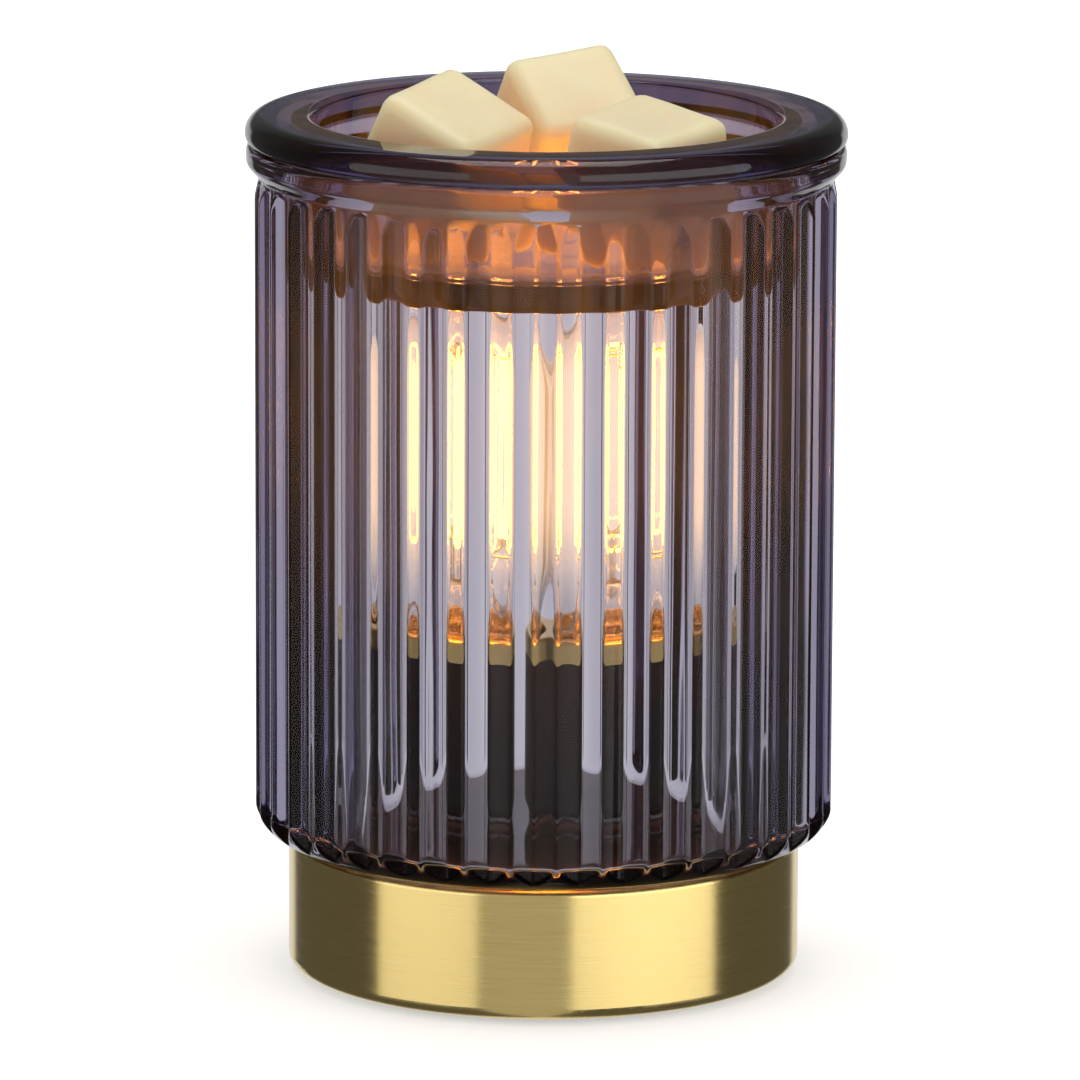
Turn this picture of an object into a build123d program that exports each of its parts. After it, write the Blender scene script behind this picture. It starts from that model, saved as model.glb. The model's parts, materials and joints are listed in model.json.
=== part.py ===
from build123d import *
import os
from math import atan2, cos, pi, radians, sin

# Electric wax melt warmer: a fluted smoke-glass shade on a brass base, with a bulb under a lift-off wax dish.
# Millimetres, Z up, standing on Z = 0 with its axis on Z. The cord inlet faces +Y and the front faces -Y.

# Clearances
PLUG = 0.1  # radial play of pieces that plug together
SEAT = 0.2  # rest gap under pieces that lift off
THREAD = 0.25  # radial play between the bulb cap and the screw shell
SLACK = 0.6  # radial play round the threaded tube

# Base cup, drawn from brass sheet with a curled foot
FOOT_DROP = 1.0
BASE_DIAMETER = 94.3
BASE_HEIGHT = 24.1
BASE_SHEET = 1.0
BASE_TOP_ROUND = 1.1
BASE_CURL_ROUND = 2.2
BASE_LIP = 1.5

# Bottom plate with its posts, screws and feet
PLATE_THICK = 3.0
PLATE_PLAY = 0.3
SCREW_COUNT = 3
SCREW_INSET = 17.15
SCREW_ANGLE = 30.0
SCREW_DIAMETER = 3.0
SCREW_LENGTH = 8.0
SCREW_HEAD_DIAMETER = 5.6
SCREW_HEAD_HEIGHT = 1.7
SCREW_SINK = 0.2
TAP_SPARE = 1.0
CROSS_WIDTH = 0.7
CROSS_LENGTH = 3.0
CROSS_DEPTH = 0.9
POST_DIAMETER = 7.0
FOOT_COUNT = 4
FOOT_INSET = 7.15
FOOT_ANGLE = 45.0
FOOT_DIAMETER = 11.0
FOOT_SINK = 0.8
FOOT_ROUND = 0.4

# Cord inlet
CORD_BORE = 5.6
GROMMET_NECK = 8.6
GROMMET_FLANGE = 12.0
GROMMET_LIP = 1.4
WALL_PLAY = 0.05

# Threaded tube and what it clamps
TUBE_DIAMETER = 10.0
TUBE_BORE = 7.2
TUBE_TAIL = 2.0
NUT_FLATS = 14.0
NUT_THICK = 3.0
STAR_DIAMETER = 15.0
STAR_THICK = 0.8
STAR_TEETH = 12
STAR_NOTCH = 1.2
GASKET_DIAMETER = 90.0
GASKET_THICK = 0.5
PAD_DIAMETER = 30.0
PAD_THICK = 1.0
CLAMP_DIAMETER = 26.0
CLAMP_THICK = 1.2

# Glass shade
SHADE_DIAMETER = 106.5
SHADE_WALL = 5.0
SHADE_FLOOR = 3.4
SHADE_HEEL = 6.5
SHADE_CORNER = 2.0
RIB_COUNT = 40
RIB_DEPTH = 1.85
RIB_ANGLE = -87.55
RIB_ROUND = 1.0
RIB_TRIM = 0.3
SHOULDER_HEIGHT = 5.0
NECK_STEP = 0.8
BEAD_STEP = 1.55
BEAD_HEIGHT = 6.0
BEAD_SLOPE = 2.6
BEAD_ROUND = 1.8
BEAD_TOP_ROUND = 1.2
RIM_EASE = 1.0

# Wax dish
DISH_PLAY = 2.55
DISH_DEPTH = 29.1
DISH_WALL = 3.0
DISH_FLOOR = 4.6
FLANGE_OVER = 0.2
FLANGE_THICK = 5.1
FLANGE_TOP_ROUND = 3.2
FLANGE_UNDER_ROUND = 1.5
FLANGE_ROOT_ROUND = 0.8
MOUTH_ROUND = 1.4
DISH_CORNER = 2.5
DISH_HEEL = 2.5

# Wax melts, all from one mould: the narrow face is up
MELT_TOP = 21.0
MELT_BASE = 25.35
MELT_HEIGHT = 24.5
MELT_ROUND = 2.6

# Where each melt lies, across and back from the axis, and its turns about X, Y and Z
LEFT_MELT_X = -18.45
LEFT_MELT_Y = -9.6
LEFT_MELT_ANGLES = (23.3, 14.6, 51.9)
RIGHT_MELT_X = 17.85
RIGHT_MELT_Y = -16.8
RIGHT_MELT_ANGLES = (11.6, 3.4, 50.7)
BACK_MELT_X = 4.2
BACK_MELT_Y = 22.6
BACK_MELT_ANGLES = (36.0, 7.4, 21.7)

# Lamp holder
BARREL_WALL = 2.95
HOLDER_HEIGHT = 29.2
HOLDER_FOOT_ROUND = 2.0
HOLDER_SPLIT = 13.8
HOLDER_FLOOR = 3.8
HOLDER_WALL = 2.0
HOLDER_LEDGE = 1.0
LEDGE_WIDTH = 2.0
BLOCK_THICK = 3.5
SHELL_SHEET = 0.4
SHELL_HEIGHT = 20.0
SHELL_FLANGE = 3.6
COLLAR_HEIGHT = 4.0
COLLAR_LIP = 1.1
COLLAR_WALL = 1.3
COLLAR_ROUND = 0.8
SPRING_WIDTH = 6.0
SPRING_SHEET = 0.5
SPRING_RISE = 1.7
SPRING_REACH = 4.0
SPRING_FOOT = 7.0

# Leads
LEAD_DIAMETER = 1.8
LEAD_SPACING = 3.8
LEAD_BEND = 4.0
LEAD_PLUG = 2.5
CRIMP_DIAMETER = 6.0
CRIMP_LENGTH = 14.0
CRIMP_START = 12.0
CRIMP_DEPTH = 8.0
CRIMP_ROUND = 1.2

# Bulb with a medium screw cap
CAP_DIAMETER = 26.2
CAP_SHEET = 0.4
CAP_HEIGHT = 19.8
TIP_DIAMETER = 9.0
TIP_HEIGHT = 1.5
TIP_ROUND = 0.7
CONE_HEIGHT = 2.5
CONE_FOOT = 11.0
PLUG_HEIGHT = 3.0
BULB_DIAMETER = 31.0
BULB_LENGTH = 82.0
BULB_AIR = 7.0
BULB_GLASS = 0.8
NECK_INSERT = 3.3
NECK_STRAIGHT = 1.0
NECK_FLARE = 10.0
FLARE_ROUND = 9.0
DOME_FLAT = 0.02
STEM_WALL = 0.8
STEM_CONE = 10.5
STEM_PINCH_DIAMETER = 5.2
STEM_ROD_DIAMETER = 2.2
STEM_BUTTON_DIAMETER = 4.0
STEM_BUTTON_HEIGHT = 3.5
PINCH_OVER = 1.5
STRAND_COUNT = 8
STRAND_CIRCLE = 16.0
STRAND_TOP_GAP = 7.8
STRAND_LIFT = 7.4
STRAND_DIAMETER = 0.6
STRAND_BEND = 1.6
HOOK_DIAMETER = 0.5
HOOK_OVERRUN = 0.7
HOOK_GAP = 0.03
LEAD_IN_DROP = 2.4
LEAD_IN_BEND = 1.0

# Heights of the stack
plate_top = FOOT_DROP + PLATE_THICK
shell_top = FOOT_DROP + BASE_HEIGHT
shell_roof = shell_top - BASE_SHEET
glass_bottom = shell_top + GASKET_THICK
glass_floor = glass_bottom + SHADE_FLOOR
pad_top = glass_floor + PAD_THICK
holder_foot = pad_top + CLAMP_THICK
holder_rim = holder_foot + HOLDER_HEIGHT
star_bottom = shell_roof - STAR_THICK
nut_bottom = star_bottom - NUT_THICK

# Lamp holder heights
block_foot = holder_foot + HOLDER_FLOOR + HOLDER_LEDGE
block_top = block_foot + BLOCK_THICK
holder_split = holder_foot + HOLDER_SPLIT
spigot_top = holder_rim + COLLAR_HEIGHT - COLLAR_LIP - PLUG
collar_top = holder_rim + COLLAR_HEIGHT

# Bulb heights
tip_foot = block_top + SPRING_RISE + SEAT
cone_foot = tip_foot + TIP_HEIGHT
cap_foot = cone_foot + CONE_HEIGHT
cap_top = cap_foot + CAP_HEIGHT
neck_foot = cap_top - NECK_INSERT
flare_foot = cap_top + NECK_STRAIGHT
pinch_foot = neck_foot + STEM_CONE
bulb_top = tip_foot + BULB_LENGTH
strand_foot = pinch_foot + STRAND_LIFT
strand_top = bulb_top - STRAND_TOP_GAP

# The dish hangs clear of the bulb, and the shade is as tall as that needs
dish_bottom = bulb_top + BULB_AIR
dish_floor = dish_bottom + DISH_FLOOR
dish_top = dish_bottom + DISH_DEPTH
dish_seat = dish_top - FLANGE_THICK
rim = dish_seat - SEAT
neck = rim - BEAD_HEIGHT

# Base radii
base_radius = BASE_DIAMETER / 2
base_inside = base_radius - BASE_SHEET
base_lip = base_radius - BASE_CURL_ROUND - BASE_LIP
plate_edge = base_lip - PLATE_PLAY
foot_circle = plate_edge - FOOT_INSET
screw_circle = plate_edge - SCREW_INSET
screw_radius = SCREW_DIAMETER / 2
tube_radius = TUBE_DIAMETER / 2

# Glass radii: the dish fits inside the shade, and its flange covers the bead
shade_radius = SHADE_DIAMETER / 2
shade_inside = shade_radius - SHADE_WALL
neck_edge = shade_radius - NECK_STEP
bead_edge = shade_radius + BEAD_STEP
flange_edge = bead_edge + FLANGE_OVER
dish_outside = shade_inside - DISH_PLAY
dish_mouth = dish_outside - DISH_WALL

# Holder and bulb radii: the holder is built round the bulb's cap
cap_radius = CAP_DIAMETER / 2
shell_inside = cap_radius + THREAD
shell_outside = shell_inside + SHELL_SHEET
barrel_inside = shell_outside + 3 * PLUG
holder_radius = barrel_inside + BARREL_WALL
holder_inside = holder_radius - HOLDER_WALL
bulb_radius = BULB_DIAMETER / 2
neck_radius = cap_radius - CAP_SHEET - 2 * PLUG
pinch_radius = STEM_PINCH_DIAMETER / 2
strand_radius = STRAND_CIRCLE / 2
strand_step = 360 / STRAND_COUNT
hook_offset = (STRAND_DIAMETER + HOOK_DIAMETER) / 2 + HOOK_GAP


def lathe(corners, rounds=0.0):
    """Solid turned about Z from (radius, height) corners, each rounded by its entry in rounds."""
    outline = FilletPolyline(*corners, radius=rounds, close=True)
    return revolve(Plane.XZ * make_face(outline), Axis.Z)


def ring(outer, inner, bottom, height):
    """Flat washer or tube between two heights."""
    blank = Cylinder(outer, height) - Cylinder(inner, height)
    return Pos(0, 0, bottom + height / 2) * blank


def rod(radius, bottom, height):
    """Upright round bar."""
    return Pos(0, 0, bottom + height / 2) * Cylinder(radius, height)


def wire(points, bend, diameter):
    """Round wire along straight runs joined by arcs."""
    path = FilletPolyline(*points, radius=bend)
    section = Plane(origin=path @ 0, z_dir=path % 0) * Circle(diameter / 2)
    return sweep(section, path=path)


def around(piece, count, radius, turn):
    """Copies of a piece on a circle about Z."""
    return [Rot(0, 0, turn + 360 * i / count) * Pos(radius, 0, 0) * piece for i in range(count)]


def save(name, piece):
    """One STEP file for a node."""
    solids = piece if isinstance(piece, list) else [piece]
    shape = solids[0] if len(solids) == 1 else Compound(children=solids)
    shape.label = name
    export_step(shape, os.path.join("parts", name + ".step"))


def base_shell():
    """Drawn cup, open below, with the tube hole in its roof and the cord hole in its rear wall."""
    bottom = FOOT_DROP
    hole = tube_radius + SLACK
    inner_top = BASE_TOP_ROUND - BASE_SHEET
    inner_curl = BASE_CURL_ROUND - BASE_SHEET
    corners = [
        (hole, shell_top),
        (base_radius, shell_top),
        (base_radius, bottom),
        (base_lip, bottom),
        (base_lip, bottom + BASE_SHEET),
        (base_inside, bottom + BASE_SHEET),
        (base_inside, shell_roof),
        (hole, shell_roof),
    ]
    shell = lathe(corners, [0, BASE_TOP_ROUND, BASE_CURL_ROUND, 0, 0, inner_curl, inner_top, 0])
    return shell - cord_axis(base_radius) * Cylinder(GROMMET_NECK / 2 + PLUG, base_radius)


def cord_axis(reach):
    """Place on the cord's line, at a distance from the axis, with its Z pointing out of the rear wall."""
    return Pos(0, reach, FOOT_DROP + BASE_HEIGHT / 2) * Rot(-90, 0, 0)


def cord_grommet():
    """Rubber bush that grips both sides of the rear wall."""
    length = BASE_SHEET + 2 * GROMMET_LIP
    middle = base_radius - BASE_SHEET / 2
    wall = ring(base_radius + WALL_PLAY, base_inside - WALL_PLAY, FOOT_DROP, BASE_HEIGHT)
    bush = cord_axis(middle) * Cylinder(GROMMET_FLANGE / 2, length) - wall
    bush += cord_axis(middle) * Cylinder(GROMMET_NECK / 2, length)
    return bush - cord_axis(middle) * Cylinder(CORD_BORE / 2, 2 * length)


def bottom_plate():
    """Plate in the open foot of the cup, with sunk screw holes and foot recesses."""
    plate = rod(plate_edge, FOOT_DROP, PLATE_THICK)
    sink = SCREW_HEAD_HEIGHT + SCREW_SINK
    hole = rod(screw_radius + 2 * PLUG, FOOT_DROP, PLATE_THICK)
    hole += rod(SCREW_HEAD_DIAMETER / 2 + 3 * PLUG, FOOT_DROP, sink)
    plate -= around(hole, SCREW_COUNT, screw_circle, SCREW_ANGLE)
    recess = rod(FOOT_DIAMETER / 2 + PLUG, FOOT_DROP, FOOT_SINK)
    return plate - around(recess, FOOT_COUNT, foot_circle, FOOT_ANGLE)


def rubber_feet():
    """Round pads in the recesses of the plate."""
    radius = FOOT_DIAMETER / 2
    corners = [(0, 0), (radius, 0), (radius, FOOT_DROP + FOOT_SINK), (0, FOOT_DROP + FOOT_SINK)]
    return around(lathe(corners, [0, FOOT_ROUND, 0, 0]), FOOT_COUNT, foot_circle, FOOT_ANGLE)


def screw_posts():
    """Tapped posts under the roof of the cup."""
    tap = SCREW_LENGTH + TAP_SPARE
    post = rod(POST_DIAMETER / 2, plate_top, shell_roof - plate_top)
    post -= rod(screw_radius + PLUG / 2, plate_top, tap)
    return around(post, SCREW_COUNT, screw_circle, SCREW_ANGLE)


def bottom_screws():
    """Cross-head screws through the plate into the posts."""
    head_bottom = FOOT_DROP + SCREW_SINK
    screw = rod(SCREW_HEAD_DIAMETER / 2, head_bottom, SCREW_HEAD_HEIGHT)
    screw += rod(screw_radius, head_bottom + SCREW_HEAD_HEIGHT, SCREW_LENGTH)
    slot = Box(CROSS_LENGTH, CROSS_WIDTH, CROSS_DEPTH) + Box(CROSS_WIDTH, CROSS_LENGTH, CROSS_DEPTH)
    screw -= Pos(0, 0, head_bottom + CROSS_DEPTH / 2) * slot
    return around(screw, SCREW_COUNT, screw_circle, SCREW_ANGLE)


def lock_washer():
    """Star washer under the roof."""
    star = ring(STAR_DIAMETER / 2, tube_radius + PLUG, star_bottom, STAR_THICK)
    notch = Pos(0, 0, star_bottom + STAR_THICK / 2) * Box(STAR_NOTCH * 2, STAR_NOTCH, STAR_THICK)
    return star - around(notch, STAR_TEETH, STAR_DIAMETER / 2, 0)


def tube_nut():
    """Hexagon nut that pulls the tube down."""
    hexagon = extrude(RegularPolygon(NUT_FLATS / 2, 6, major_radius=False), NUT_THICK)
    return Pos(0, 0, nut_bottom) * hexagon - rod(tube_radius + PLUG, nut_bottom, NUT_THICK)


def rib_point(radius, turn):
    """Point of the shade's outline."""
    return (radius * cos(radians(turn)), radius * sin(radians(turn)))


def glass_shade():
    """Thick-bottomed jar with flat-sided, soft-edged ribs between its heel and its beaded rim."""
    pitch = 360 / RIB_COUNT
    flank = atan2(RIB_DEPTH, shade_radius * radians(pitch / 2))
    rounded_off = RIB_ROUND * (1 / cos(flank) - 1)
    points = []
    for i in range(RIB_COUNT):
        crest = RIB_ANGLE + i * pitch
        points.append(rib_point(shade_radius + rounded_off, crest))
        points.append(rib_point(shade_radius - RIB_DEPTH - rounded_off, crest + pitch / 2))
    section = make_face(Polyline(*points, close=True))
    section = fillet(section.vertices(), RIB_ROUND)
    ribbed = Pos(0, 0, glass_bottom) * extrude(section, neck - glass_bottom)
    edge = shade_radius + RIB_TRIM
    shoulder = (edge, neck - SHOULDER_HEIGHT)
    envelope = lathe(
        [(0, glass_bottom), (edge, glass_bottom), shoulder, (neck_edge, neck), (0, neck)],
        [0, SHADE_HEEL + RIB_TRIM, SHADE_HEEL, 0, 0],
    )
    bead = lathe(
        [
            (0, neck),
            (neck_edge, neck),
            (bead_edge, neck + BEAD_SLOPE),
            (bead_edge, rim),
            (0, rim),
        ],
        [0, 0, BEAD_ROUND, BEAD_TOP_ROUND, 0],
    )
    cavity = lathe(
        [
            (0, glass_floor),
            (shade_inside, glass_floor),
            (shade_inside, rim - RIM_EASE),
            (shade_inside + RIM_EASE, rim),
            (shade_inside + RIM_EASE, rim + 1),
            (0, rim + 1),
        ],
        [0, SHADE_CORNER, 0, 0, 0, 0],
    )
    hole = rod(tube_radius + SLACK, glass_bottom - 1, SHADE_FLOOR + 2)
    return (ribbed & envelope) + bead - cavity - hole


def wax_dish():
    """Straight-walled dish that hangs from its flange inside the rim of the shade."""
    corners = [
        (0, dish_bottom),
        (dish_outside, dish_bottom),
        (dish_outside, dish_seat),
        (flange_edge, dish_seat),
        (flange_edge, dish_top),
        (dish_mouth, dish_top),
        (dish_mouth, dish_floor),
        (0, dish_floor),
    ]
    lower = [0, DISH_HEEL, FLANGE_ROOT_ROUND, FLANGE_UNDER_ROUND]
    return lathe(corners, lower + [FLANGE_TOP_ROUND, MOUTH_ROUND, DISH_CORNER, 0])


def wax_melt(x, y, turns):
    """Rounded block, turned by (about X, about Y, about Z) and let down to the dish floor."""
    low = Rectangle(MELT_BASE, MELT_BASE)
    high = Pos(0, 0, MELT_HEIGHT) * Rectangle(MELT_TOP, MELT_TOP)
    block = loft([low.face(), high.face()])
    block = Rot(*turns) * Pos(0, 0, -MELT_HEIGHT / 2) * fillet(block.edges(), MELT_ROUND)
    rest = dish_floor + SEAT - block.bounding_box().min.Z
    return Pos(x, y, rest) * block


def holder_cap():
    """Lower cup of the holder, screwed on the tube."""
    ledge = holder_inside - LEDGE_WIDTH
    hole = tube_radius + PLUG
    corners = [
        (hole, holder_foot),
        (holder_radius, holder_foot),
        (holder_radius, holder_split),
        (holder_inside, holder_split),
        (holder_inside, block_foot),
        (ledge, block_foot),
        (ledge, holder_foot + HOLDER_FLOOR),
        (hole, holder_foot + HOLDER_FLOOR),
    ]
    return lathe(corners, [0, HOLDER_FOOT_ROUND, 0, 0, 0, 0, 0, 0])


def holder_shell():
    """Barrel of the holder; its spigots enter the cap and carry the collar."""
    spigot = holder_inside - PLUG
    thread = holder_radius - COLLAR_WALL - PLUG
    return lathe(
        [
            (barrel_inside, block_top + PLUG),
            (spigot, block_top + PLUG),
            (spigot, holder_split),
            (holder_radius, holder_split),
            (holder_radius, holder_rim),
            (thread, holder_rim),
            (thread, spigot_top),
            (barrel_inside, spigot_top),
        ]
    )


def holder_collar():
    """Brass ring screwed on the top of the barrel."""
    bore = holder_radius - COLLAR_WALL
    corners = [
        (bore, holder_rim),
        (holder_radius, holder_rim),
        (holder_radius, collar_top),
        (barrel_inside, collar_top),
        (barrel_inside, collar_top - COLLAR_LIP),
        (bore, collar_top - COLLAR_LIP),
    ]
    return lathe(corners, [0, 0, COLLAR_ROUND, COLLAR_ROUND / 2, 0, 0])


def contact_block():
    """Insulating disc with the two push-in holes for the leads."""
    block = rod(holder_inside - PLUG, block_foot, BLOCK_THICK)
    hole = rod(LEAD_DIAMETER / 2 + PLUG, block_foot, LEAD_PLUG + PLUG)
    return block - [Pos(x, 0, 0) * hole for x in (-LEAD_SPACING / 2, LEAD_SPACING / 2)]


def screw_shell():
    """Thin sleeve that takes the bulb's cap, with a flange on the block."""
    sleeve = ring(shell_outside, shell_inside, block_top, SHELL_HEIGHT)
    return sleeve + ring(shell_outside, shell_inside - SHELL_FLANGE, block_top, SHELL_SHEET)


def centre_contact():
    """Spring tongue under the bulb's contact, drawn pressed down."""
    top = block_top + SPRING_RISE
    corners = [
        (-SPRING_FOOT, block_top),
        (-SPRING_FOOT, top),
        (SPRING_REACH, top),
        (SPRING_REACH, top - SPRING_SHEET),
        (SPRING_SHEET - SPRING_FOOT, top - SPRING_SHEET),
        (SPRING_SHEET - SPRING_FOOT, block_top),
    ]
    outline = make_face(Polyline(*corners, close=True))
    return extrude(Plane.XZ * outline, SPRING_WIDTH / 2, both=True)


def bulb_contact():
    """Solder tip under the cap."""
    radius = TIP_DIAMETER / 2
    corners = [(0, tip_foot), (radius, tip_foot), (radius, cone_foot), (0, cone_foot)]
    return lathe(corners, [0, TIP_ROUND, 0, 0])


def cap_insulator():
    """Dark glass cone that closes the cap."""
    plug = cap_radius - CAP_SHEET - PLUG
    plug_top = cap_foot + PLUG_HEIGHT
    cone = [(0, cone_foot), (CONE_FOOT / 2, cone_foot), (plug, cap_foot)]
    return lathe(cone + [(plug, plug_top), (0, plug_top)])


def bulb_outline(inset):
    """Half outline of the envelope, set in from its outside."""
    side = bulb_radius - inset
    throat = neck_radius - inset
    top = bulb_top - inset
    corners = [
        (0, neck_foot),
        (throat, neck_foot),
        (throat, flare_foot),
        (side, flare_foot + NECK_FLARE),
        (side, top),
        (0, top),
    ]
    return lathe(corners, [0, 0, FLARE_ROUND, FLARE_ROUND, side - DOME_FLAT, 0])


def bulb_envelope():
    """Clear tubular glass with a round top, open at the neck."""
    return bulb_outline(0) - bulb_outline(BULB_GLASS)


def bulb_stem():
    """Flare sealed to the neck, the pinch and the rod that carries the top hooks."""
    throat = neck_radius - BULB_GLASS - PLUG
    rod_radius = STEM_ROD_DIAMETER / 2
    button = STEM_BUTTON_DIAMETER / 2
    button_foot = strand_top - hook_offset - STEM_BUTTON_HEIGHT / 2
    button_top = button_foot + STEM_BUTTON_HEIGHT
    pinch_top = strand_foot + hook_offset + PINCH_OVER
    return lathe(
        [
            (throat, neck_foot),
            (throat, neck_foot + STEM_WALL),
            (pinch_radius, pinch_foot),
            (pinch_radius, pinch_top),
            (rod_radius, pinch_top + rod_radius),
            (rod_radius, button_foot - rod_radius),
            (button, button_foot),
            (button, button_top),
            (0, button_top),
            (0, pinch_foot - STEM_WALL),
            (pinch_radius - STEM_WALL, pinch_foot - STEM_WALL),
            (throat - STEM_WALL, neck_foot),
        ]
    )


def filament():
    """One wire of upright strands, looped over the top hooks and under the foot hooks."""
    points = []
    for i in range(STRAND_COUNT):
        x, y = rib_point(strand_radius, (i + 0.5) * strand_step)
        ends = [(x, y, strand_foot), (x, y, strand_top)]
        points += ends if i % 2 == 0 else ends[::-1]
    return wire(points, STRAND_BEND, STRAND_DIAMETER)


def filament_hooks():
    """Radial hooks: every loop of the filament lies on one."""
    reach = strand_radius * cos(pi / STRAND_COUNT) + HOOK_OVERRUN
    hooks = []
    for i in range(STRAND_COUNT - 1):
        upper = i % 2 == 0
        root = (STEM_BUTTON_DIAMETER / 2 if upper else pinch_radius) + HOOK_GAP
        height = strand_top - hook_offset if upper else strand_foot + hook_offset
        hook = Rot(0, 90, 0) * Cylinder(HOOK_DIAMETER / 2, reach - root)
        hooks.append(Rot(0, 0, (i + 1) * strand_step) * Pos((reach + root) / 2, 0, height) * hook)
    return hooks


def lead_in_wires():
    """Two wires from the pinch to the ends of the filament."""
    foot = strand_foot - LEAD_IN_DROP
    root = (pinch_radius + HOOK_GAP, 0, foot)
    tip = (strand_radius, 0, strand_foot - HOOK_GAP)
    lead = wire([root, (strand_radius, 0, foot), tip], LEAD_IN_BEND, HOOK_DIAMETER)
    return [Rot(0, 0, turn) * lead for turn in (strand_step / 2, -strand_step / 2)]


# Internal leads, one on each side of the axis
crimp_height = plate_top + CRIMP_DIAMETER / 2 + PLUG


def lead(side):
    """Insulated lead from the contact block, down the tube and out along the plate into its crimp cap."""
    x = side * LEAD_SPACING / 2
    end = side * (CRIMP_START + CRIMP_DEPTH)
    points = [(x, 0, block_foot + LEAD_PLUG), (x, 0, crimp_height), (end, 0, crimp_height)]
    return wire(points, LEAD_BEND, LEAD_DIAMETER)


def crimp_caps():
    """Closed caps where the supply cord joins the leads."""
    radius = CRIMP_DIAMETER / 2
    bore = LEAD_DIAMETER / 2 + PLUG
    depth = CRIMP_DEPTH + PLUG
    corners = [(bore, 0), (radius, 0), (radius, CRIMP_LENGTH), (0, CRIMP_LENGTH), (0, depth), (bore, depth)]
    cap = Pos(CRIMP_START, 0, crimp_height) * Rot(0, 90, 0) * lathe(corners, [0, 0, CRIMP_ROUND, 0, 0, 0])
    return around(cap, 2, 0, 0)


def threaded_tube():
    """Hollow threaded rod through base, glass and holder."""
    foot = nut_bottom - TUBE_TAIL
    return ring(tube_radius, TUBE_BORE / 2, foot, holder_foot + HOLDER_FLOOR - foot)


os.makedirs("parts", exist_ok=True)

# Base
save("base_shell", base_shell())
save("bottom_plate", bottom_plate())
save("rubber_feet", rubber_feet())
save("screw_posts", screw_posts())
save("bottom_screws", bottom_screws())
save("cord_grommet", cord_grommet())
save("threaded_tube", threaded_tube())
save("tube_nut", tube_nut())
save("lock_washer", lock_washer())
save("live_lead", lead(1))
save("neutral_lead", lead(-1))
save("crimp_caps", crimp_caps())

# Glass
save("base_gasket", ring(GASKET_DIAMETER / 2, tube_radius + SLACK, shell_top, GASKET_THICK))
save("glass_shade", glass_shade())
save("floor_pad", ring(PAD_DIAMETER / 2, tube_radius + SLACK, glass_floor, PAD_THICK))
save("clamp_washer", ring(CLAMP_DIAMETER / 2, tube_radius + SLACK, pad_top, CLAMP_THICK))

# Lamp holder
save("holder_cap", holder_cap())
save("holder_shell", holder_shell())
save("holder_collar", holder_collar())
save("contact_block", contact_block())
save("screw_shell", screw_shell())
save("centre_contact", centre_contact())

# Bulb
save("bulb_contact", bulb_contact())
save("cap_insulator", cap_insulator())
save("bulb_cap", ring(cap_radius, cap_radius - CAP_SHEET, cap_foot, CAP_HEIGHT))
save("bulb_envelope", bulb_envelope())
save("bulb_stem", bulb_stem())
save("filament", filament())
save("filament_hooks", filament_hooks())
save("lead_in_wires", lead_in_wires())

# Wax
save("wax_dish", wax_dish())
save("melt_left", wax_melt(LEFT_MELT_X, LEFT_MELT_Y, LEFT_MELT_ANGLES))
save("melt_right", wax_melt(RIGHT_MELT_X, RIGHT_MELT_Y, RIGHT_MELT_ANGLES))
save("melt_back", wax_melt(BACK_MELT_X, BACK_MELT_Y, BACK_MELT_ANGLES))
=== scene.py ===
import json
import math

import bmesh
import bpy
from bpy.props import FloatProperty, FloatVectorProperty, IntProperty, PointerProperty
from mathutils import Matrix, Vector, noise

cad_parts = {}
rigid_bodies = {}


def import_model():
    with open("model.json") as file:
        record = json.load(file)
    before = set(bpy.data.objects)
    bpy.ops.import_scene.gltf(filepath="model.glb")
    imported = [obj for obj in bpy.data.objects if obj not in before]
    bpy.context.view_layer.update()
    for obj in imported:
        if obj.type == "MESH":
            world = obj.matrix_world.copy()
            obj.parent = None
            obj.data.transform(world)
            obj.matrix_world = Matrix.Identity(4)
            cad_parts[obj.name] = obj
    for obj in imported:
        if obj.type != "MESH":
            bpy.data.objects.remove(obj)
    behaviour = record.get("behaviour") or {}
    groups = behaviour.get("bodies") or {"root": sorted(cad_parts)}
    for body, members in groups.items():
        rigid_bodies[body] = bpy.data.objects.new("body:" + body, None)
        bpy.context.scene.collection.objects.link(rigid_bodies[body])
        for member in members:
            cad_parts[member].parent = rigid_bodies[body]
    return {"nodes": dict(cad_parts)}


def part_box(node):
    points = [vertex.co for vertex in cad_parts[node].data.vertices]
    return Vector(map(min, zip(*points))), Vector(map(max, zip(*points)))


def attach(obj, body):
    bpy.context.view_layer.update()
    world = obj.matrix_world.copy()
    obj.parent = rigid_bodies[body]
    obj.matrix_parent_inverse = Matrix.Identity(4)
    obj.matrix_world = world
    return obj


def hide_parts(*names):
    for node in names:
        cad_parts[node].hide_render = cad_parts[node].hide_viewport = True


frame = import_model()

bl_info = {
    "name": "Wax melt warmer",
    "version": (1, 0, 0),
    "blender": (4, 5, 0),
    "location": "3D View > Sidebar > Warmer",
    "description": "Dresses a wax melt warmer: fluted smoke glass, brushed brass, bulb and wax melts",
    "category": "Object",
}

MM = 0.001
IN_DEGREES = 180 / math.pi
BLACK = (0.0, 0.0, 0.0, 1.0)
NODES = frame["nodes"]

for spare in [o for o in bpy.data.objects if o.name in ("Cube", "Light", "Camera")]:
    bpy.data.objects.remove(spare)
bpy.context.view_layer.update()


# Settings


def length(label, millimetres, description):
    """A size in the sidebar."""
    return FloatProperty(
        name=label, description=description, default=millimetres * MM, unit="LENGTH", precision=5
    )


def colour(label, value, description):
    """A colour in the sidebar."""
    return FloatVectorProperty(
        name=label, description=description, default=value, size=3, min=0.0, max=1.0, subtype="COLOR"
    )


def amount(label, value, description):
    """A plain number in the sidebar."""
    return FloatProperty(name=label, description=description, default=value, min=0.0)


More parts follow.
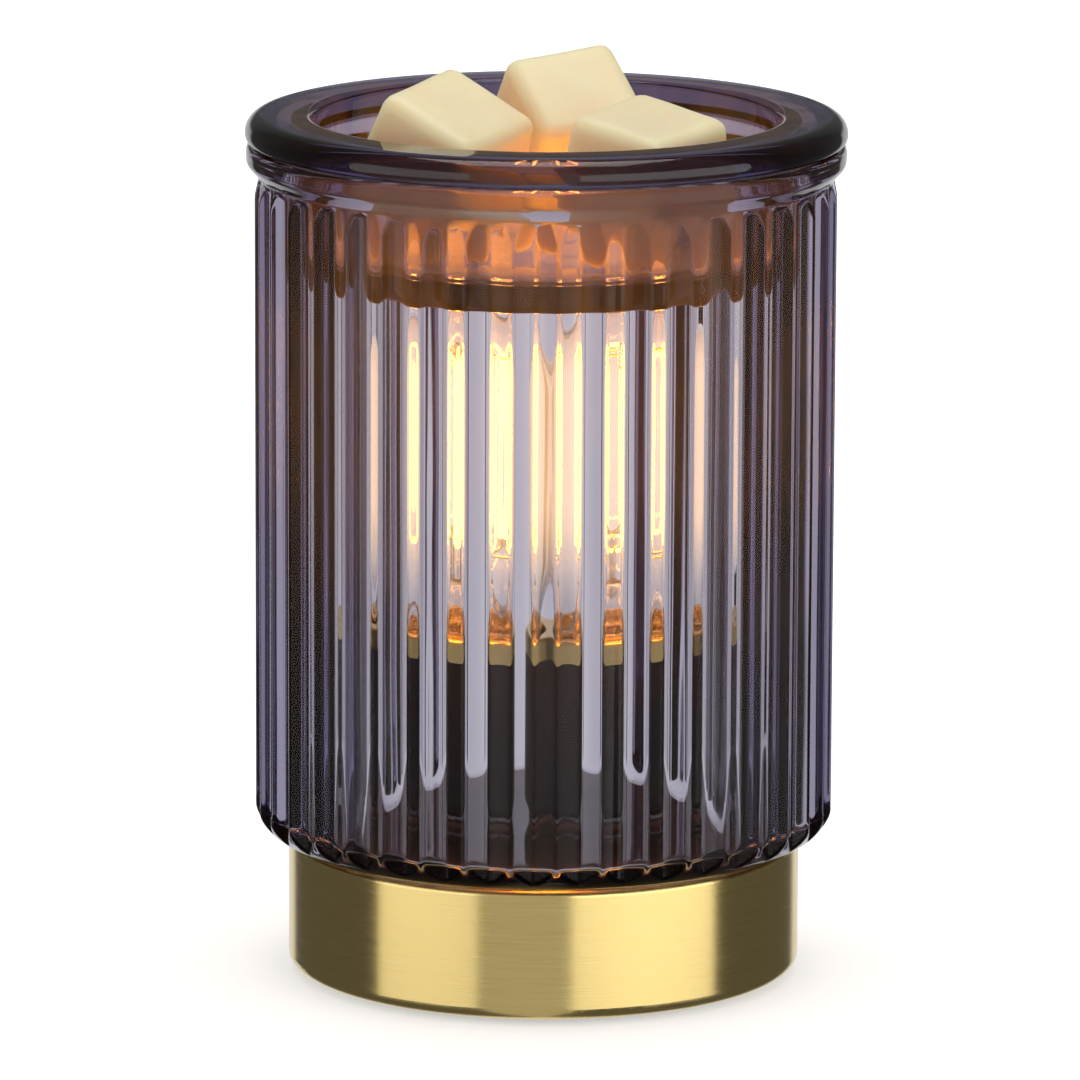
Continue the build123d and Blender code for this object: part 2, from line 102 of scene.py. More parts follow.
def degrees(label, value, description):
    """An angle in the sidebar."""
    return FloatProperty(
        name=label, description=description, default=math.radians(value), subtype="ANGLE"
    )


def whole(label, value, description, least):
    """A whole number in the sidebar."""
    return IntProperty(name=label, description=description, default=value, min=least)


class ShadeSettings(bpy.types.PropertyGroup):
    """Fluted glass jar round the bulb."""

    rib_count: whole("Ribs", 40, "Upright ribs round the jar", 3)
    rib_depth: length("Rib depth", 1.85, "Crest of a rib over the valleys beside it")
    rib_turn: degrees("Rib turn", -87.55, "Place of one crest round the axis")
    rib_steps: whole("Steps in a rib", 20, "Faces across one rib", 4)
    rib_edge: FloatProperty(
        name="Rib sharpness",
        description="Flat flanks with sharp edges at 1",
        default=0.96,
        min=0.1,
        max=0.999,
    )
    crest: length("Crest radius", 53.25, "Radius over the ribs")
    inside: length("Inside radius", 48.25, "Radius of the smooth inside")
    foot: length("Foot", 25.6, "Height of the jar's underside")
    floor: length("Floor", 29.0, "Height of the jar's floor")
    heel: length("Heel", 6.5, "Round of the jar's lower edge and of its shoulder")
    corner: length("Corner", 2.0, "Round where the wall meets the floor inside")
    neck: length("Neck", 148.2, "Height where the ribs end under the bead")
    neck_radius: length("Neck radius", 52.45, "Radius under the bead")
    bead: length("Bead radius", 54.8, "Radius of the beaded rim")
    rim: length("Rim", 154.2, "Height of the rim")
    hole: length("Tube hole", 5.6, "Radius of the hole in the floor")


class DishSettings(bpy.types.PropertyGroup):
    """Glass dish that hangs in the rim."""

    flange: length("Flange radius", 55.0, "Outer edge of the flange")
    outside: length("Outside radius", 45.7, "Outside of the dish wall")
    mouth: length("Mouth radius", 42.7, "Inside of the dish wall")
    bottom: length("Bottom", 130.4, "Height of the underside")
    floor: length("Floor", 135.0, "Height of the dish floor")
    seat: length("Seat", 154.4, "Height of the flange's underside")
    top: length("Top", 159.5, "Height of the flange's top")
    corner: length("Corner", 2.5, "Round where the wall meets the floor inside")


class GlassSettings(bpy.types.PropertyGroup):
    """Smoke glass of the jar and the dish."""

    tint: colour("Tint", (0.31, 0.27, 0.47), "What the glass lets through; the rest is absorbed")
    density: amount("Density", 106.0, "Absorption in a metre of the jar's glass")
    dish_density: amount("Dish density", 280.0, "Absorption in a metre of the dish's glass")
    passing: colour("Lamp light", (0.70, 0.66, 0.72), "Lamp light that the jar lets through")
    dish_passing: colour("Dish's lamp light", (0.92, 0.84, 0.76), "Lamp light that the dish lets through")
    gloss: amount("Gloss", 0.2, "Strength of the reflections that face the viewer, 1 for plain glass")
    dish_gloss: amount("Dish gloss", 0.8, "The same for the dish")
    # Painted glow: amber emission on the glass, standing in for bulb light caught in it
    amber: colour("Amber", (1.0, 0.34, 0.03), "Bulb light caught in the glass")
    lit: amount("Caught light", 0.42, "Brightness of the light caught in the jar")
    dish_lit: amount("Dish's caught light", 0.9, "Brightness of the light caught in the dish")
    lit_edge: length("Caught light edge", 48.5, "Radius beyond which none is caught")
    lit_height: length("Caught light height", 112.0, "Height of its middle")
    lit_reach: length("Caught light reach", 30.0, "Distance over which it stays full")


class MeltSettings(bpy.types.PropertyGroup):
    """Wax melts from one mould."""

    base: length("Base", 25.35, "Side of the wide face")
    top: length("Top", 21.0, "Side of the narrow face")
    height: length("Height", 24.5, "Wide face to narrow face")
    round: length("Round", 2.6, "Radius of the edges")
    wax: colour("Wax", (0.98, 0.77, 0.50), "Colour of the wax")
    spread: length("Spread", 5.0, "How far light spreads in the wax")


class BulbSettings(bpy.types.PropertyGroup):
    """Clear filament bulb."""

    radius: length("Radius", 15.5, "Outside of the glass")
    neck_radius: length("Neck radius", 12.5, "Glass inside the cap")
    neck: length("Neck", 61.9, "Height of the glass in the cap")
    flare: length("Flare", 66.2, "Height where the neck widens")
    top: length("Top", 123.4, "Height of the round top")
    glass: length("Glass", 0.8, "Thickness of the glass")
    strand_count: whole("Strands", 8, "Upright runs of the filament", 2)
    strand_circle: length("Strand radius", 8.0, "Strands from the axis")
    strand_foot: length("Strand foot", 79.8, "Height of the lower loops")
    strand_top: length("Strand top", 115.6, "Height of the upper loops")
    strand_wire: length("Strand wire", 0.3, "Radius of the glowing wire")
    hook_wire: length("Hook wire", 0.25, "Radius of the hooks and lead-in wires")
    cap_radius: length("Cap radius", 13.1, "Over the thread")
    cap_foot: length("Cap foot", 45.4, "Lower edge of the cap")
    cap_top: length("Cap top", 65.2, "Upper edge of the cap")
    glow: colour("Glow", (1.0, 0.38, 0.03), "Colour of the lit filament")
    light: amount("Light", 320.0, "Brightness of the lit filament")
    # Painted glow: emission on the bulb's glass round the filament
    painted_veil: colour("Veil", (1.0, 0.58, 0.20), "Light that the bulb's glass catches")
    painted_veil_strength: amount("Veil light", 0.22, "Brightness of the caught light")


class MetalSettings(bpy.types.PropertyGroup):
    """Brass of the base and the collar."""

    brass: colour("Brass", (0.99, 0.79, 0.36), "Brushed brass")
    brass_dark: colour("Brass lines", (0.76, 0.54, 0.17), "Brass in the brush lines")


class StageSettings(bpy.types.PropertyGroup):
    """Camera, floor and lights."""

    lens: FloatProperty(
        name="Lens", description="Focal length on a 36 mm sensor", default=299.0, unit="CAMERA"
    )
    distance: length("Distance", 1649.8, "Camera to its aim")
    elevation: degrees("Elevation", 11.629, "Camera above the horizon")
    roll: degrees("Roll", 0.228, "Camera tilt")
    aim_x: length("Aim across", -0.894, "Camera's aim beside the axis")
    aim_z: length("Aim height", 80.18, "Camera's aim above the floor")
    fill: amount("Fill", 0.5, "Even light from all round")
    back: amount("White back", 33.0, "Half width in degrees of the white back seen through glass")
    back_edge: amount("Back edge", 5.0, "Degrees over which the white back darkens")
    dark: amount("Dark sides", 0.005, "What glass sees past the white back")
    room: amount("Room", 0.6, "What glass sees to the sides and in front")
    front: amount("Front", 0.55, "What gloss sees beside the camera")
    sides: amount("Sides", 0.12, "What gloss sees past the softboxes")
    right: amount("Right softbox", 1.75, "Brightness of the softbox on the right")
    left: amount("Left softbox", 1.3, "Brightness of the softbox on the left")
    overhead: amount("Overhead softbox", 2.9, "Brightness of the softbox above")


class WarmerSettings(bpy.types.PropertyGroup):
    """All settings of the warmer."""

    shade: PointerProperty(type=ShadeSettings)
    dish: PointerProperty(type=DishSettings)
    glass: PointerProperty(type=GlassSettings)
    melt: PointerProperty(type=MeltSettings)
    bulb: PointerProperty(type=BulbSettings)
    metal: PointerProperty(type=MetalSettings)
    stage: PointerProperty(type=StageSettings)


# Small sizes and counts that stay out of the sidebar

CORNER_STEP, CORNER_FEWEST, CORNER_MOST = 0.6 * MM, 4, 22
EDGE_HOLD = 0.35 * MM
MERGE = 2e-6
WIRE_SIDES, WIRE_BEND_STEPS = 12, 7

RIB_TRIM, RIB_BLEND = 0.3 * MM, 0.3 * MM
NECK_FADE = 1.3 * MM
HOLE_ROUND = 0.3 * MM
JAR_WAVES, DISH_WAVES = 0.22 * MM, 0.12 * MM
# Falloff and edge of the painted amber glow on the glass
PAINTED_GLOW_POWER = 4.0
PAINTED_GLOW_EDGE = 0.4 * MM

MELT_STEPS, MELT_CUTS, MELT_LONG_EDGE = 6, 15, 8 * MM
SKIN_SCALE, SKIN_DEPTH = 160.0, 0.22 * MM

FLARE_HEIGHT, FLARE_ROUND, LIP_ROUND = 10 * MM, 9 * MM, 0.1 * MM
CAP_WALL = 0.42 * MM
THREAD_PITCH, THREAD_DEPTH, THREAD_FADE = 3.63 * MM, 0.34 * MM, 2 * MM
STEM_GLASS, STEM_GAP = 0.8 * MM, 0.1 * MM
PINCH_RADIUS, ROD_RADIUS = 2.6 * MM, 1.1 * MM
BUTTON_RADIUS, BUTTON_HEIGHT = 2.0 * MM, 3.5 * MM
STRAND_BEND, HOOK_BEND, LEAD_BEND = 1.6 * MM, 0.45 * MM, 1 * MM
WIRE_GAP, HOOK_OVERRUN, HOOK_TIP, LEAD_DROP = 0.03 * MM, 0.45 * MM, 0.75 * MM, 2.4 * MM

# Stage, in metres and degrees

SENSOR_WIDTH, CLIP_END = 36.0, 50.0
FLOOR_RADIUS, FLOOR_SIDES = 4.0, 96
FLOOR_PAINT = (0.8, 0.8, 0.8, 1.0)
FLOOR_NEAR, FLOOR_FAR = 0.1, 0.4
FLOOR_NEAR_WHITE, FLOOR_FAR_WHITE = 0.5, 1.0
ROOM_START, ROOM_FULL = 85.0, 105.0
GLOSS_BACK, GLOSS_BACK_END = 24.0, 30.0
GLOSS_RISE, GLOSS_ABOVE = 0.12, 0.15
FRONT_TURN, FRONT_HALF, FRONT_END = 8.0, 19.5, 22.5
SOFTBOX_DISTANCE, SOFTBOX_HEIGHT = 1.3, 0.1
RIGHT_TURN, RIGHT_SIZE = 47.0, (1.8, 1.0)
LEFT_TURN, LEFT_SIZE = -53.5, (1.2, 1.0)
OVERHEAD_SPOT, OVERHEAD_SIZE = (0.0, 0.1, 1.5), (1.0, 1.0)
GLASS_BOUNCES, GLOSS_BOUNCES, CLEAR_BOUNCES = 28, 12, 40


# Node trees


class Wiring:
    """Short hand for making and joining the nodes of one tree."""

    def __init__(self, tree):
        self.tree = tree

    def feed(self, socket, value):
        """Joins another node's output to a socket, or sets its value."""
        if isinstance(value, bpy.types.NodeSocket):
            self.tree.links.new(value, socket)
        else:
            socket.default_value = value

    def add(self, kind, inputs=None, **settings):
        """A node with its settings and inputs."""
        node = self.tree.nodes.new(kind)
        for key, value in settings.items():
            setattr(node, key, value)
        for key, value in (inputs or {}).items():
            self.feed(node.inputs[key], value)
        return node

    def calc(self, operation, *values, clamp=False):
        """One step of arithmetic."""
        node = self.tree.nodes.new("ShaderNodeMath")
        node.operation = operation
        node.use_clamp = clamp
        for socket, value in zip(node.inputs, values):
            self.feed(socket, value)
        return node.outputs[0]

    def ramp(self, value, low, high, start=0.0, end=1.0, smooth=False):
        """A value carried from one range to another and held at its ends."""
        kind = "SMOOTHSTEP" if smooth else "LINEAR"
        keys = {"Value": value, "From Min": low, "From Max": high, "To Min": start, "To Max": end}
        return self.add("ShaderNodeMapRange", keys, interpolation_type=kind).outputs[0]

    def blend(self, factor, first, second):
        """A mix of two colours."""
        node = self.tree.nodes.new("ShaderNodeMix")
        node.data_type = "RGBA"
        for index, value in ((0, factor), (6, first), (7, second)):
            self.feed(node.inputs[index], value)
        return node.outputs[2]

    def split(self, vector):
        """The three parts of a vector."""
        return self.add("ShaderNodeSeparateXYZ", {0: vector}).outputs


def socket_name(tree, label):
    """Identifier of a tree's named input."""
    for item in tree.interface.items_tree:
        if item.item_type == "SOCKET" and item.in_out == "INPUT" and item.name == label:
            return item.identifier
    raise KeyError(label)


def geometry_tree(label, sockets):
    """An empty Geometry Nodes tree with named inputs: its wiring, its input node and its output node."""
    tree = bpy.data.node_groups.new(label, "GeometryNodeTree")
    tree.interface.new_socket("Geometry", in_out="INPUT", socket_type="NodeSocketGeometry")
    for name, kind in sockets:
        tree.interface.new_socket(name, in_out="INPUT", socket_type="NodeSocket" + kind)
    tree.interface.new_socket("Geometry", in_out="OUTPUT", socket_type="NodeSocketGeometry")
    wiring = Wiring(tree)
    return wiring, tree.nodes.new("NodeGroupInput").outputs, tree.nodes.new("NodeGroupOutput").inputs


def close_tree(wiring, geometry, material, result):
    """The last nodes of every tree: smooth faces, real instances, material."""
    smooth = wiring.add("GeometryNodeSetShadeSmooth", {"Geometry": geometry}).outputs[0]
    real = wiring.add("GeometryNodeRealizeInstances", {"Geometry": smooth}).outputs[0]
    painted = wiring.add("GeometryNodeSetMaterial", {"Geometry": real, "Material": material})
    wiring.feed(result[0], painted.outputs[0])


def turned_tree(label, extra, shape):
    """A tree that turns an outline about Z; shape gives the radius at an angle and a height."""
    sockets = [("Steps", "Int"), ("Turn", "Float"), ("Material", "Material")] + extra
    wiring, given, result = geometry_tree(label, sockets)
    outline = given["Geometry"]
    rows = wiring.add("GeometryNodeAttributeDomainSize", {"Geometry": outline}).outputs["Point Count"]
    columns = wiring.calc("ADD", given["Steps"], 1.0)
    grid = wiring.add("GeometryNodeMeshGrid", {"Vertices X": columns, "Vertices Y": rows}).outputs["Mesh"]
    index = wiring.add("GeometryNodeInputIndex").outputs[0]
    column = wiring.calc("FLOOR", wiring.calc("DIVIDE", wiring.calc("ADD", index, 0.5), rows))
    row = wiring.calc("SUBTRACT", index, wiring.calc("MULTIPLY", column, rows))
    place = wiring.add("GeometryNodeInputPosition").outputs[0]
    sample = wiring.add("GeometryNodeSampleIndex", data_type="FLOAT_VECTOR")
    for key, value in (("Geometry", outline), ("Value", place), ("Index", row)):
        wiring.feed(sample.inputs[key], value)
    radius, _, height = wiring.split(sample.outputs[0])
    share = wiring.calc("DIVIDE", column, given["Steps"])
    angle = wiring.calc("ADD", wiring.calc("MULTIPLY", share, math.tau), given["Turn"])
    radius = shape(wiring, given, radius, height, angle)
    x = wiring.calc("MULTIPLY", radius, wiring.calc("COSINE", angle))
    y = wiring.calc("MULTIPLY", radius, wiring.calc("SINE", angle))
    point = wiring.add("ShaderNodeCombineXYZ", {0: x, 1: y, 2: height}).outputs[0]
    moved = wiring.add("GeometryNodeSetPosition", {"Geometry": grid, "Position": point}).outputs[0]
    merged = wiring.add("GeometryNodeMergeByDistance", {"Geometry": moved, "Distance": MERGE})
    close_tree(wiring, merged.outputs[0], given["Material"], result)
    return wiring.tree


def plain_round(wiring, given, radius, height, angle):
    """Round all the way."""
    return radius


def ribbed_round(wiring, given, radius, height, angle):
    """Upright ribs with flat flanks and soft edges, cut by the outline and fading into the neck."""
    calc = wiring.calc
    # Turning starts in a valley, so the crest lies half a pitch on
    turned = calc("MULTIPLY", calc("SUBTRACT", angle, given["Turn"]), given["Rib Count"])
    swing = calc("ARCSINE", calc("MULTIPLY", calc("COSINE", turned), given["Sharpness"]))
    wave = calc("DIVIDE", swing, calc("ARCSINE", given["Sharpness"]))
    drop = calc("MULTIPLY", calc("ADD", wave, 1.0), calc("MULTIPLY", given["Rib Depth"], 0.5))
    rib = calc("SUBTRACT", given["Crest"], drop)
    cut = calc("SMOOTH_MIN", radius, rib, RIB_BLEND)
    below = calc("SUBTRACT", given["Neck"], NECK_FADE)
    fade = wiring.ramp(height, below, given["Neck"], 1.0, 0.0, smooth=True)
    return calc("ADD", radius, calc("MULTIPLY", calc("SUBTRACT", cut, radius), fade))


def threaded_round(wiring, given, radius, height, angle):
    """Rolled thread on the outside of a sleeve."""
    calc = wiring.calc
    turns = calc("DIVIDE", height, given["Pitch"])
    wave = calc("SINE", calc("SUBTRACT", calc("MULTIPLY", turns, math.tau), angle))
    groove = calc("MULTIPLY", calc("ADD", calc("MULTIPLY", wave, 0.5), 0.5), given["Thread Depth"])
    foot, top = given["Thread Foot"], given["Thread Top"]
    lower = wiring.ramp(height, foot, calc("ADD", foot, THREAD_FADE), smooth=True)
    upper = wiring.ramp(height, calc("SUBTRACT", top, THREAD_FADE), top, 1.0, 0.0, smooth=True)
    outer = calc("GREATER_THAN", radius, given["Outer"])
    held = calc("MULTIPLY", calc("MULTIPLY", lower, upper), outer)
    return calc("SUBTRACT", radius, calc("MULTIPLY", groove, held))


def wire_tree():
    """A tree that rounds the corners of open runs and lays a round wire along them."""
    sockets = [("Wire Radius", "Float"), ("Bend Radius", "Float"), ("Material", "Material")]
    wiring, given, result = geometry_tree("Bent wire", sockets)
    runs = wiring.add("GeometryNodeMeshToCurve", {"Mesh": given["Geometry"]}).outputs[0]
    keys = {"Curve": runs, "Radius": given["Bend Radius"], "Limit Radius": True, "Count": WIRE_BEND_STEPS}
    bends = wiring.add("GeometryNodeFilletCurve", keys, mode="POLY").outputs[0]
    keys = {"Radius": given["Wire Radius"], "Resolution": WIRE_SIDES}
    section = wiring.add("GeometryNodeCurvePrimitiveCircle", keys).outputs[0]
    keys = {"Curve": bends, "Profile Curve": section, "Fill Caps": True}
    tube = wiring.add("GeometryNodeCurveToMesh", keys)
    close_tree(wiring, tube.outputs[0], given["Material"], result)
    return wiring.tree


# Meshes and pieces


def outline(corners, closed=False):
    """Points of a rounded outline. A corner is a radius and a height.
    Its round and the parts of the run after it may follow."""
    count = len(corners)
    bends = []
    for i, corner in enumerate(corners):
        here = Vector(corner[:2])
        size = corner[2] if len(corner) > 2 else 0.0
        if size == 0.0 or (not closed and i in (0, count - 1)):
            bends.append([here])
            continue
        before = (Vector(corners[i - 1][:2]) - here).normalized()
        after = (Vector(corners[(i + 1) % count][:2]) - here).normalized()
        opening = before.angle(after)
        reach = size / math.tan(opening / 2)
        middle = here + (before + after).normalized() * (size / math.sin(opening / 2))
        start, end = here + before * reach - middle, here + after * reach - middle
        steps = round(start.angle(end) * size / CORNER_STEP)
        steps = max(CORNER_FEWEST, min(CORNER_MOST, steps))
        sweep = start.angle_signed(end)
        bends.append([middle + Matrix.Rotation(-sweep * k / steps, 2) @ start for k in range(steps + 1)])
    points = []
    for i in range(count if closed else count - 1):
        points += bends[i]
        start, end = bends[i][-1], bends[(i + 1) % count][0]
        run = (end - start).length
        parts = corners[i][3] if len(corners[i]) > 3 else 1
        shares = [k / parts for k in range(1, parts)]
        if run > 4 * EDGE_HOLD:
            shares = sorted(shares + [EDGE_HOLD / run, 1 - EDGE_HOLD / run])
        points += [start.lerp(end, share) for share in shares]
    points += bends[0][:1] if closed else bends[-1]
    return [(p.x, 0.0, p.y) for p in points]


def run_mesh(label, runs):
    """A mesh of open runs of points."""
    points, edges = [], []
    for run in runs:
        edges += [(len(points) + k, len(points) + k + 1) for k in range(len(run) - 1)]
        points += run
    mesh = bpy.data.meshes.new(label)
    mesh.from_pydata(points, edges, [])
    return mesh


def outward(mesh):
    """Faces of a closed shape turned outwards."""
    shape = bmesh.new()
    shape.from_mesh(mesh)
    bmesh.ops.recalc_face_normals(shape, faces=shape.faces)
    shape.to_mesh(mesh)
    shape.free()


def place(label, mesh):
    """A piece at the origin, its place in its mesh."""
    piece = bpy.data.objects.new(label, mesh)
    bpy.context.scene.collection.objects.link(piece)
    return piece


def grow(label, tree, mesh, inputs):
    """A piece from a Geometry Nodes tree, as a plain mesh."""
    source = place(label + "_source", mesh)
    modifier = source.modifiers.new("Shape", "NODES")
    modifier.node_group = tree
    for name, value in inputs.items():
        modifier[socket_name(tree, name)] = value
    ready = source.evaluated_get(bpy.context.evaluated_depsgraph_get())
    made = bpy.data.meshes.new_from_object(ready)
    made.name = label
    bpy.data.objects.remove(source)
    if not made.polygons:
        raise RuntimeError(label + " came out empty")
    outward(made)
    return place(label, made)


def turned(label, corners, material, steps):
    """A piece turned about Z from its outline."""
    tree = bpy.data.node_groups.get("Turned") or turned_tree("Turned", [], plain_round)
    inputs = {"Steps": steps, "Turn": 0.0, "Material": material}
    return grow(label, tree, run_mesh(label, [outline(corners)]), inputs)


def wires(label, runs, radius, bend, material):
    """Round wires along runs of points."""
    tree = bpy.data.node_groups.get("Bent wire") or wire_tree()
    inputs = {"Wire Radius": radius, "Bend Radius": bend, "Material": material}
    return grow(label, tree, run_mesh(label, runs), inputs)


def settle(piece, body, slot, *nodes):
    """Puts a piece on its body and in place of CAD nodes. Its slot argument is not used."""
    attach(piece, body)
    if nodes:
        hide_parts(*nodes)


def dress(material, *nodes):
    """Gives CAD nodes a material."""
    for node in nodes:
        for slot in NODES[node].material_slots:
            slot.material = material


# Effects that several materials share


def shader_group(label, inputs, outputs):
    """An empty shader node group with named sockets."""
    tree = bpy.data.node_groups.new(label, "ShaderNodeTree")
    for name in inputs:
        tree.interface.new_socket(name, in_out="INPUT", socket_type="NodeSocketFloat")
    for name in outputs:
        tree.interface.new_socket(name, in_out="OUTPUT", socket_type="NodeSocketFloat")
    wiring = Wiring(tree)
    return wiring, tree.nodes.new("NodeGroupInput").outputs, tree.nodes.new("NodeGroupOutput").inputs


def stretched(wiring, wide, high):
    """Object coordinates scaled across and up."""
    spot = wiring.add("ShaderNodeTexCoord").outputs["Object"]
    scale = wiring.add("ShaderNodeCombineXYZ", {0: wide, 1: wide, 2: high}).outputs[0]
    return wiring.add("ShaderNodeVectorMath", {0: spot, 1: scale}, operation="MULTIPLY").outputs[0]


def noise_at(wiring, vector, detail=2.0, roughness=0.5):
    """Noise on scaled coordinates."""
    keys = {"Vector": vector, "Scale": 1.0, "Detail": detail, "Roughness": roughness}
    return wiring.add("ShaderNodeTexNoise", keys).outputs[0]


def surface_noise():
    """Noise that is drawn out one way: brush lines, pressed glass, moulded grain."""
    label = "Drawn noise"
    group = bpy.data.node_groups.get(label)
    if group:
        return group
    wiring, given, result = shader_group(label, ["Wide", "High"], ["Coarse", "Fine"])
    wide, high = given["Wide"], given["High"]
    wiring.feed(result["Coarse"], noise_at(wiring, stretched(wiring, wide, high)))
    fine_wide, fine_high = wiring.calc("MULTIPLY", wide, 3.7), wiring.calc("MULTIPLY", high, 3.7)
    wiring.feed(result["Fine"], noise_at(wiring, stretched(wiring, fine_wide, fine_high), 3.0, 0.6))
    return wiring.tree


class Finish:
    """A material under construction: its wiring, its Principled shader and a noise scaled across and up."""

    def __init__(self, label, wide, high):
        self.material = bpy.data.materials.new(label)
        self.material.use_nodes = True
        self.material.node_tree.nodes.clear()
        self.wiring = Wiring(self.material.node_tree)
        self.shader = self.wiring.add("ShaderNodeBsdfPrincipled")
        self.end = self.wiring.add("ShaderNodeOutputMaterial", {"Surface": self.shader.outputs[0]})
        noise_node = self.wiring.add("ShaderNodeGroup", node_tree=surface_noise())
        noise_node.inputs["Wide"].default_value = wide
        noise_node.inputs["High"].default_value = high
        self.coarse, self.fine = noise_node.outputs["Coarse"], noise_node.outputs["Fine"]

    def set(self, **values):
        """Plain values or links on the shader's own sockets."""
        for key, value in values.items():
            self.wiring.feed(self.shader.inputs[key.replace("_", " ")], value)

    def bump(self, height, depth):
        """Relief from a height."""
        keys = {"Height": height, "Distance": depth, "Strength": 1.0}
        self.wiring.feed(self.shader.inputs["Normal"], self.wiring.add("ShaderNodeBump", keys).outputs[0])

    def colours(self, factor, first, second):
        """Base colour that drifts between two colours."""
        self.set(Base_Color=self.wiring.blend(factor, (*first, 1.0), (*second, 1.0)))

    def lamps_pass(self, tint):
        """Lets lamp light through glass, tinted."""
        path = self.wiring.add("ShaderNodeLightPath").outputs["Is Shadow Ray"]
        clear = self.wiring.add("ShaderNodeBsdfTransparent", {"Color": (*tint, 1.0)}).outputs[0]
        mixed = self.wiring.add("ShaderNodeMixShader", {0: path, 1: self.shader.outputs[0], 2: clear})
        self.wiring.feed(self.end.inputs["Surface"], mixed.outputs[0])


def smoke_glass(label, settings, waves, density, lit, gloss, passing):
    """Pressed smoke glass: violet-grey through a wall, near black along it, with a painted amber glow near
    the bulb.
    """
    finish = Finish(label, wide=42.0, high=9.0)
    wiring = finish.wiring
    finish.set(IOR=1.5, Transmission_Weight=1.0, Base_Color=(1.0, 1.0, 1.0, 1.0))
    finish.set(Specular_Tint=(gloss, gloss, gloss, 1.0))
    finish.set(Roughness=wiring.ramp(finish.fine, 0.3, 0.7, start=0.0, end=0.05))
    finish.bump(finish.coarse, waves)
    keys = {"Color": (*settings.tint, 1.0), "Density": density}
    inside = wiring.add("ShaderNodeVolumeAbsorption", keys)
    wiring.feed(finish.end.inputs["Volume"], inside.outputs[0])
    # Painted glow: amber emission on faces inside a radius of the axis, such as the jar's inner faces,
    # standing in for bulb light caught there; it fades away from the bulb
    spot = wiring.add("ShaderNodeTexCoord").outputs["Object"]
    middle = (0.0, 0.0, settings.lit_height)
    off = wiring.add("ShaderNodeVectorMath", {0: spot, 1: middle}, operation="DISTANCE")
    near = wiring.calc("DIVIDE", settings.lit_reach, off.outputs["Value"])
    mottle = wiring.ramp(finish.fine, 0.35, 0.65, start=0.3, end=1.0)
    painted_glow = wiring.calc("MULTIPLY", wiring.calc("POWER", near, PAINTED_GLOW_POWER), mottle)
    keys = {0: spot, 1: (1.0, 1.0, 0.0)}
    flat = wiring.add("ShaderNodeVectorMath", keys, operation="MULTIPLY").outputs[0]
    out = wiring.add("ShaderNodeVectorMath", {0: flat}, operation="LENGTH").outputs["Value"]
    inner = wiring.ramp(out, settings.lit_edge, settings.lit_edge + PAINTED_GLOW_EDGE, 1.0, 0.0)
    painted_glow = wiring.calc("MULTIPLY", wiring.calc("MINIMUM", painted_glow, 1.0), inner)
    finish.set(Emission_Color=wiring.blend(painted_glow, BLACK, (*settings.amber, 1.0)))
    finish.set(Emission_Strength=lit)
    finish.lamps_pass(passing)
    return finish.material


def clear_glass(label, settings=None):
    """Thin clear glass of the bulb. Its envelope, made with settings, gives off a faint painted veil of
    light: emission standing in for light the glass catches from the filament.
    """
    finish = Finish(label, wide=60.0, high=25.0)
    wiring = finish.wiring
    finish.set(IOR=1.45, Transmission_Weight=1.0, Base_Color=(1.0, 0.99, 0.97, 1.0))
    finish.set(Roughness=wiring.ramp(finish.fine, 0.3, 0.8, start=0.0, end=0.02))
    finish.bump(finish.coarse, 0.04 * MM)
    finish.lamps_pass((0.96, 0.96, 0.95))
    if settings:
        # Painted glow on the envelope, strongest at the filament's height
        height = wiring.split(wiring.add("ShaderNodeTexCoord").outputs["Object"])[2]
        foot, top = settings.strand_foot, settings.strand_top
        rise = wiring.ramp(height, foot - 12 * MM, foot + 8 * MM, smooth=True)
        fall = wiring.ramp(height, top - 6 * MM, top + 10 * MM, 1.0, 0.0, smooth=True)
        painted_veil = wiring.calc("MULTIPLY", rise, fall)
        finish.set(Emission_Color=wiring.blend(painted_veil, BLACK, (*settings.painted_veil, 1.0)))
        finish.set(Emission_Strength=settings.painted_veil_strength)
    return finish.material


def brushed_metal(label, light, dark, roughness, lines):
    """Metal brushed round its axis."""
    finish = Finish(label, wide=26.0, high=lines)
    finish.colours(finish.fine, dark, light)
    finish.set(Metallic=1.0, Anisotropic=0.8, Anisotropic_Rotation=0.25)
    smoothest, roughest = roughness * 0.8, roughness * 1.25
    finish.set(Roughness=finish.wiring.ramp(finish.fine, 0.25, 0.75, smoothest, roughest))
    tangent = finish.wiring.add("ShaderNodeTangent", direction_type="RADIAL", axis="Z")
    finish.set(Tangent=tangent.outputs[0])
    finish.bump(finish.fine, 0.006 * MM)
    return finish.material


def plain_metal(label, light, dark, roughness):
    """Metal with faint spots of tarnish."""
    finish = Finish(label, wide=420.0, high=420.0)
    finish.colours(finish.coarse, dark, light)
    smoothest, roughest = roughness * 0.7, roughness * 1.3
    finish.set(Metallic=1.0, Roughness=finish.wiring.ramp(finish.fine, 0.2, 0.8, smoothest, roughest))
    finish.bump(finish.fine, 0.01 * MM)
    return finish.material


def moulded(label, light, dark, roughness, grain, gloss=0.5):
    """Plastic, rubber or porcelain with a fine grain."""
    finish = Finish(label, wide=grain, high=grain)
    finish.colours(finish.coarse, dark, light)
    smoothest, roughest = roughness * 0.8, min(1.0, roughness * 1.2)
    finish.set(Roughness=finish.wiring.ramp(finish.fine, 0.2, 0.8, smoothest, roughest))
    finish.set(Specular_IOR_Level=gloss)
    finish.bump(finish.fine, 0.02 * MM)
    return finish.material


